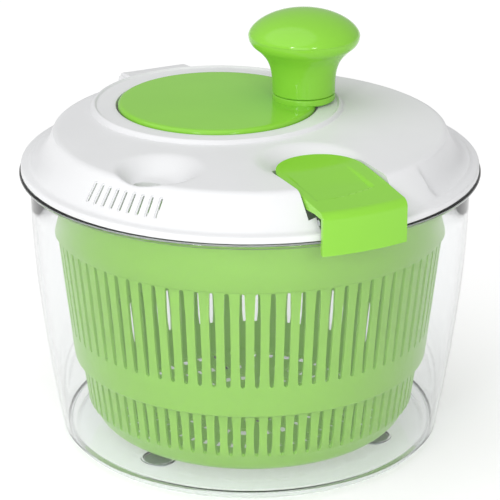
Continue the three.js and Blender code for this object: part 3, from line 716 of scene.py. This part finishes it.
def lid_solid(inset):
    """The lid's outer form as a full solid, its skin moved in by an inset."""
    segments = 360
    shape = bmesh.new()
    rings = []

    def ring(toward_crank, radius, height=None):
        made = []
        for i in range(segments):
            a = 2 * math.pi * i / segments
            u = toward_crank * crank_at.x + radius * math.cos(a)
            v = toward_crank * crank_at.y + radius * math.sin(a)
            z = lid_height(u, v) if height is None else height
            made.append(shape.verts.new((u * mm, v * mm, z * mm)))
        rings.append(made)

    ring(1, well_radius, well_foot)
    ring(1, well_radius, ledge - 1)
    ring(1, well_radius + 0.2, ledge - 0.3)
    for radius in (well_radius + 0.9, 58, 60.5, 62.8):
        ring(1, radius)
    steps = 72
    for i in range(1, steps + 1):
        share = (i / steps) ** 1.5
        ring(1 - share, 62.8 + (shoulder_radius - 62.8) * share)
    for i in range(1, 27):
        ring(0, shoulder_radius + (flank_end - shoulder_radius) * i / 26)
    for radius, height in (
        (118.2, 4.35),
        (119.2, 4.1),
        (120.8, 3.9),
        (lid_edge - 0.6, 3.7),
        (lid_edge - 0.15, 3.3),
        (lid_edge, 2.6),
        (lid_edge, 0.3),
        (lid_edge - 0.3, 0),
        (skirt + 0.5, 0),
        (skirt, -0.5),
        (skirt, -0.8),
        (skirt - 0.3, -1.1),
    ):
        ring(0, radius, lid_foot + height - 0.3 * (height > 2.6))
    for below, above in zip(rings, rings[1:]):
        for i in range(segments):
            j = (i + 1) % segments
            shape.faces.new([below[i], below[j], above[j], above[i]])
    if inset:
        shape.normal_update()
        shifts = [(vert, -inset * mm * vert.normal) for vert in shape.verts]
        upward = sum(face.normal.z for face in shape.faces) > 0
        for vert, shift in shifts:
            vert.co += shift if upward else -shift
        for vert in rings[0]:
            vert.co.z = (well_foot + 0.2) * mm
        for vert in rings[-1]:
            vert.co.z -= 2 * mm
    shape.faces.new(rings[0])
    shape.faces.new(rings[-1])
    bmesh.ops.recalc_face_normals(shape, faces=shape.faces)
    mesh = bpy.data.meshes.new("lid_solid")
    shape.to_mesh(mesh)
    shape.free()
    return mesh


def prism(outline, low, high):
    """A flat outline (u, v) pulled up between two heights."""
    shape = bmesh.new()
    bottom = [shape.verts.new((u * mm, v * mm, low * mm)) for u, v in outline]
    top = [shape.verts.new((u * mm, v * mm, high * mm)) for u, v in outline]
    shape.faces.new(bottom)
    shape.faces.new(top)
    for i in range(len(outline)):
        j = (i + 1) % len(outline)
        shape.faces.new([bottom[i], bottom[j], top[j], top[i]])
    bmesh.ops.recalc_face_normals(shape, faces=shape.faces)
    mesh = bpy.data.meshes.new("prism")
    shape.to_mesh(mesh)
    shape.free()
    return mesh


latch_half = 23.75
latch_rear = 57.0
press_room = 2.0
pocket_gap = 0.95
pocket_floor = lid_foot + 4.2
past_edge, past_top = 140, 200


def latch_plan(grow):
    """The latch's pocket from above: wide behind, and narrower where the flank meets it."""
    half = latch_half + grow
    centre = latch_rear + latch_half - press_room
    turns = [math.pi * i / 40 for i in range(41)]
    round_end = [(centre - half * math.sin(a), half * math.cos(a)) for a in turns]
    narrow = half - 4.2
    step = 112.6 - grow
    sides = [(step, half), *round_end, (step, -half)]
    front = [(step, -narrow), (past_edge, -narrow), (past_edge, narrow), (step, narrow)]
    return [*sides, *front]


vent_count = 9
vent_angle = -61.5
vent_step = 2.69


def vents(half_width, half_length, foot):
    """A row of round-ended slots laid along the slope of the flank."""
    outline = arc((half_length - half_width, 0), half_width, -90, 90, 8)
    outline += arc((-half_length + half_width, 0), half_width, 90, 270, 8)
    one = prism(outline, foot, 5)
    one.transform(Matrix.Rotation(math.radians(flank_slope), 4, "Y"))
    first = vent_angle - vent_step * (vent_count - 1) / 2
    row = (111.8, 0, rim_top + 12.2)
    return repeated(one, vent_count, white, row, first, vent_step, vent_step * 0.65)


def inlet_hole(grow, low, high):
    """The oval water inlet under the front wall of the dish, or the thick lip around it."""
    outline = []
    for i in range(48):
        a = 2 * math.pi * i / 48
        outline.append((dish_reach + 8 + (6.2 + grow) * math.cos(a), (10 + grow) * math.sin(a)))
    return moved(prism(outline, low, high), turn=math.degrees(dish_angle))


pocket_outside = prism(latch_plan(pocket_gap), pocket_floor, past_top)
outer = shaped(lid_solid(0), ("DIFFERENCE", pocket_outside))
pocket_inside = prism(latch_plan(pocket_gap + lid_wall), pocket_floor - lid_wall, past_top)
inner = shaped(lid_solid(lid_wall), ("DIFFERENCE", pocket_inside))

hook_side = [
    (lid_edge - 20, 17),
    (lid_edge - 20, 20.9),
    (lid_edge - 9, 20.6),
    *arc((lid_edge - 0.4, 14.7), 5, 80, 0, 8),
    (lid_edge + 4.6, -4.4),
    (lid_edge + 4.2, -5),
    (lid_edge + 2.3, -5),
    (lid_edge + 2.3, 0.2),
    (lid_edge - 6, 0.2),
    (lid_edge - 6, 6),
]
hook_half = 20.8
hook_edge = 1.4
hook = prism(hook_side, -hook_half, hook_half)
hook.transform(Matrix.Translation((0, 0, rim_top * mm)) @ Matrix.Rotation(math.radians(90), 4, "X"))
hook_shape = bmesh.new()
hook_shape.from_mesh(hook)
sharp = [e for e in hook_shape.edges if e.calc_face_angle(0) > 1.2]
bmesh.ops.bevel(hook_shape, geom=sharp, offset=hook_edge * mm, segments=3, affect="EDGES")
hook_shape.to_mesh(hook)
hook_shape.free()
hook_out = rim_radius + 3.8
round_edge = turned([(0, 120), (hook_out, 120), (hook_out, past_top), (0, past_top)], 360)
hook = shaped(hook, ("INTERSECT", round_edge))
hook = moved(hook, turn=180)

lid_mesh = shaped(
    outer,
    ("DIFFERENCE", inner),
    ("UNION", hook),
    ("UNION", inlet_hole(1.5, rim_top + 9.5, rim_top + 13)),
    ("DIFFERENCE", inlet_hole(0, rim_top, rim_top + 40)),
    ("DIFFERENCE", vents(1.15, 6.0, -0.85)),
    ("DIFFERENCE", vents(0.5, 5.2, -4)),
)
moved(lid_mesh, turn=latch_angle)
fitted("lid_top", lid_mesh, "lid", white, ["lid_shell"], crease=28)

# ---- Latch ----
# The green press latch: a moulded plate with a round rear end and a shallow thumb rest, folded
# down at the rim into a curved front. It rocks on a steel pin that lies under its fold.
green = moulded("green_plastic", (0.26, 0.63, 0.05), (0.40, 0.76, 0.15), 0.14, 0.03)
latch_low, latch_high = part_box("latch")
latch_top = latch_high[2] / mm
latch_front = rim_radius + 3.8
fold_round = 4.2
latch_foot = latch_low[2] / mm
latch_fall = 5.6
fold_top = latch_top - latch_fall


def latch_path(share):
    """The middle line of the latch's outside, from its rear tip over the fold to its foot."""
    plate = latch_front - fold_round - latch_rear
    bend = fold_round * math.pi / 2
    drop = fold_top - fold_round - latch_foot
    way = share * (plate + bend + drop)
    if way <= plate:
        return latch_rear + way, latch_top - latch_fall * eased(way / plate * 0.62) / eased(0.62)
    if way <= plate + bend:
        turn = (way - plate) / fold_round
        out = latch_rear + plate + fold_round * math.sin(turn)
        return out, fold_top - fold_round * (1 - math.cos(turn))
    return latch_front, fold_top - fold_round - (way - plate - bend)


def thumb_rest(u, v):
    """A shallow rest with a curved front edge, deepest at its right front corner."""
    front_edge = 110.5 - (v + 20) ** 2 / 260
    inside = min(front_edge - u, v + 19.5, 15.5 - v)
    fade = eased((u - 74) / 24)
    return fade * eased(inside / 1.0) * (0.8 + 0.5 * eased((v + 19) / 34))


plate_wall = 4.8
front_wall = 3.3
latch_shape = bmesh.new()
latch_rows = []
latch_walls = []
long_steps, wide_steps = 120, 64
for i in range(long_steps + 1):
    share = (i / long_steps) ** 1.15
    u, z = latch_path(share)
    latch_walls.append(1 - (1 - front_wall / plate_wall) * eased((u - 108) / 12))
    toward = max(latch_half - (u - latch_rear), 0)
    half = math.sqrt(max(latch_half**2 - toward**2, 1.6))
    bow = eased((u - 100) / 24)
    row = []
    for j in range(wide_steps + 1):
        across = j / wide_steps - 0.5
        v = half * (0.35 * math.sin(math.pi * across) + 0.65 * 2 * across)
        set_back = bow * (latch_front - math.sqrt(latch_front**2 - v**2))
        height = z - thumb_rest(u, v) if u < latch_front - fold_round else z
        row.append(latch_shape.verts.new(((u - set_back) * mm, v * mm, height * mm)))
    latch_rows.append(row)
for below, above in zip(latch_rows, latch_rows[1:]):
    for j in range(wide_steps):
        latch_shape.faces.new([below[j], below[j + 1], above[j + 1], above[j]])
bmesh.ops.recalc_face_normals(latch_shape, faces=latch_shape.faces)
if sum(face.normal.z for face in latch_shape.faces) < 0:
    bmesh.ops.reverse_faces(latch_shape, faces=latch_shape.faces)
latch_mesh = bpy.data.meshes.new("latch")
latch_shape.to_mesh(latch_mesh)
latch_shape.free()
latch_sheet = bpy.data.objects.new("latch_sheet", latch_mesh)
stage.collection.objects.link(latch_sheet)
thickness = latch_sheet.vertex_groups.new(name="thickness")
for i, share in enumerate(latch_walls):
    row_start = i * (wide_steps + 1)
    thickness.add(list(range(row_start, row_start + wide_steps + 1)), share, "REPLACE")
wall = latch_sheet.modifiers.new("wall", "SOLIDIFY")
wall.vertex_group = "thickness"
wall.thickness = plate_wall * mm
wall.offset = -1
wall.use_even_offset = True
edge = latch_sheet.modifiers.new("edge", "BEVEL")
edge.width = 1.3 * mm
edge.segments = 3
edge.limit_method = "ANGLE"
edge.angle_limit = math.radians(50)
finished = latch_sheet.evaluated_get(bpy.context.evaluated_depsgraph_get())
latch_body = bpy.data.meshes.new_from_object(finished)
bpy.data.objects.remove(latch_sheet)
moved(latch_body, turn=latch_angle)
fitted("latch_plate", latch_body, "latch", green, ["latch"])

# ---- Crank disc ----
# The green disc that lies in the collar, moulded with its axle: its edge is rounded, its top is
# slightly domed, and a boss stands out of it to carry the knob's post.
knob_joint = next(j for j in frame["joints"] if j["name"] == "knob_spin")
crank_x, crank_y = crank_joint["pos_m"][0] / mm, crank_joint["pos_m"][1] / mm
knob_x, knob_y = knob_joint["pos_m"][0] / mm, knob_joint["pos_m"][1] / mm
disc_top = rim_top + 24.8
disc_under = disc_top - 3.4
axle_low = disc_low[2] / mm
boss_radius = 17.2
boss_top = disc_top + 3.1
post_top = disc_high[2] / mm
disc_outline = [
    (0, axle_low),
    (4.4, axle_low),
    (5, axle_low + 0.6),
    (5, disc_under),
    (disc_radius - 1.2, disc_under),
    *arc((disc_radius - 2.2, disc_under + 1.2), 2.2, -50, 80, 10),
    *[(disc_radius - 3 - 3 * i, disc_top + 0.35 * math.sin(math.pi / 2 * i / 17)) for i in range(17)],
    (0, disc_top + 0.36),
]
boss_outline = [
    (0, ledge + 0.9),
    (boss_radius - 0.8, ledge + 0.9),
    (boss_radius, ledge + 1.7),
    (boss_radius, boss_top - 0.7),
    *arc((boss_radius - 0.7, boss_top - 0.7), 0.7, 0, 90, 4),
    (7, boss_top),
    (7, post_top - 0.5),
    (6.5, post_top),
    (0, post_top),
]
disc_mesh = shaped(
    moved(turned(disc_outline, 192), crank_x, crank_y),
    ("UNION", moved(turned(boss_outline, 96), knob_x, knob_y)),
)
fitted("crank_plate", disc_mesh, "crank", green, ["crank_disc"], crease=40)

# ---- Knob ----
# Two hollow green mouldings snapped together: a waisted stem that flares into a skirt, and a
# domed cap over it. A fine seam runs around the widest part.
stem_low, stem_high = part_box("knob_stem")
cap_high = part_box("knob_cap")[1]
knob_radius = (stem_high[0] - stem_low[0]) / 2 / mm
stem_foot, seam, knob_top = stem_low[2] / mm, stem_high[2] / mm, cap_high[2] / mm


def smooth_line(points, steps):
    """Catmull-Rom points through the given ones."""
    ends = [points[0], *points, points[-1]]
    line = []
    for a, b, c, d in zip(ends, ends[1:], ends[2:], ends[3:]):
        for i in range(steps):
            t = i / steps
            point = []
            for p, q, r, s in zip(a, b, c, d):
                bend = 2 * p - 5 * q + 4 * r - s
                twist = 3 * q - p - 3 * r + s
                point.append(0.5 * (2 * q + (r - p) * t + bend * t * t + twist * t**3))
            line.append(tuple(point))
    return [*line, points[-1]]


stem_side = smooth_line(
    [
        (boss_radius, stem_foot + 0.5),
        (boss_radius, stem_foot + 4),
        (boss_radius + 0.3, stem_foot + 9),
        (boss_radius + 1.2, stem_foot + 14),
        (boss_radius + 3.4, stem_foot + 19),
        (knob_radius - 5.7, stem_foot + 23.6),
        (knob_radius - 1.9, stem_foot + 27),
        (knob_radius - 0.4, stem_foot + 29.6),
        (knob_radius - 0.02, seam + 0.1),
    ],
    6,
)
stem_outline = [
    (boss_radius - 0.5, stem_foot),
    *stem_side,
    (knob_radius - 2.6, seam + 0.1),
    (knob_radius - 4, seam - 4),
    (knob_radius - 9, post_top - 1.5),
    (7.4, post_top - 1.5),
    (7.4, stem_foot),
]
stem_mesh = moved(turned(stem_outline, 128, True), knob_x, knob_y)
fitted("knob_stem_moulding", stem_mesh, "knob", green, ["knob_stem"])


def cap_side(radius, foot, rise):
    """The side of a flattened dome, from its foot to just short of the axis."""
    turns = [math.pi / 2 * i / 28 for i in range(28)]
    return [(radius * math.cos(a), foot + rise * math.sin(a) ** 1.24) for a in turns]


cap_foot = seam + 0.17
cap_outline = [
    (0, knob_top - 2.2),
    *reversed(cap_side(knob_radius - 2.4, cap_foot, knob_top - cap_foot - 2.2)),
    *cap_side(knob_radius, cap_foot, knob_top - cap_foot),
    (0, knob_top),
]
cap_mesh = moved(turned(cap_outline, 128), knob_x, knob_y)
fitted("knob_cap_moulding", cap_mesh, "knob", green, ["knob_cap"])

# ---- Works under the lid ----
# The gear housing, the gears, the spindle and the drive plate keep their solids. The screws,
# pins and washers are zinc-plated steel, with a duller bloom in patches.
steel = bpy.data.materials.new("zinc_steel")
steel.use_nodes = True
nodes, links = steel.node_tree.nodes, steel.node_tree.links
glossy = nodes["Principled BSDF"]
glossy.inputs["Metallic"].default_value = 1.0
place = nodes.new("ShaderNodeTexCoord")
bloom = nodes.new("ShaderNodeTexNoise")
bloom.inputs["Scale"].default_value = 260
bloom_tone = nodes.new("ShaderNodeValToRGB")
bloom_tone.color_ramp.elements[0].color = (0.5, 0.51, 0.53, 1)
bloom_tone.color_ramp.elements[1].color = (0.66, 0.67, 0.69, 1)
dull = nodes.new("ShaderNodeMapRange")
dull.inputs["To Min"].default_value = 0.22
dull.inputs["To Max"].default_value = 0.42
links.new(place.outputs["Object"], bloom.inputs["Vector"])
links.new(bloom.outputs["Fac"], bloom_tone.inputs["Fac"])
links.new(bloom_tone.outputs["Color"], glossy.inputs["Base Color"])
links.new(bloom.outputs["Fac"], dull.inputs["Value"])
links.new(dull.outputs["Result"], glossy.inputs["Roughness"])

coats = {"white_plastic": white, "nylon": nylon, "steel": steel, "green_plastic": green}
replaced = {"bowl", "foot_left", "foot_right", "foot_rear", "pivot_bush", "basket", "lid_shell", "latch"}
replaced |= {"crank_disc", "knob_stem", "knob_cap"}
for entry in frame["record"]["subparts"]:
    if entry["node"] not in replaced:
        mesh = frame["nodes"][entry["node"]].data
        mesh.materials.clear()
        mesh.materials.append(coats[entry["material_slot"]])
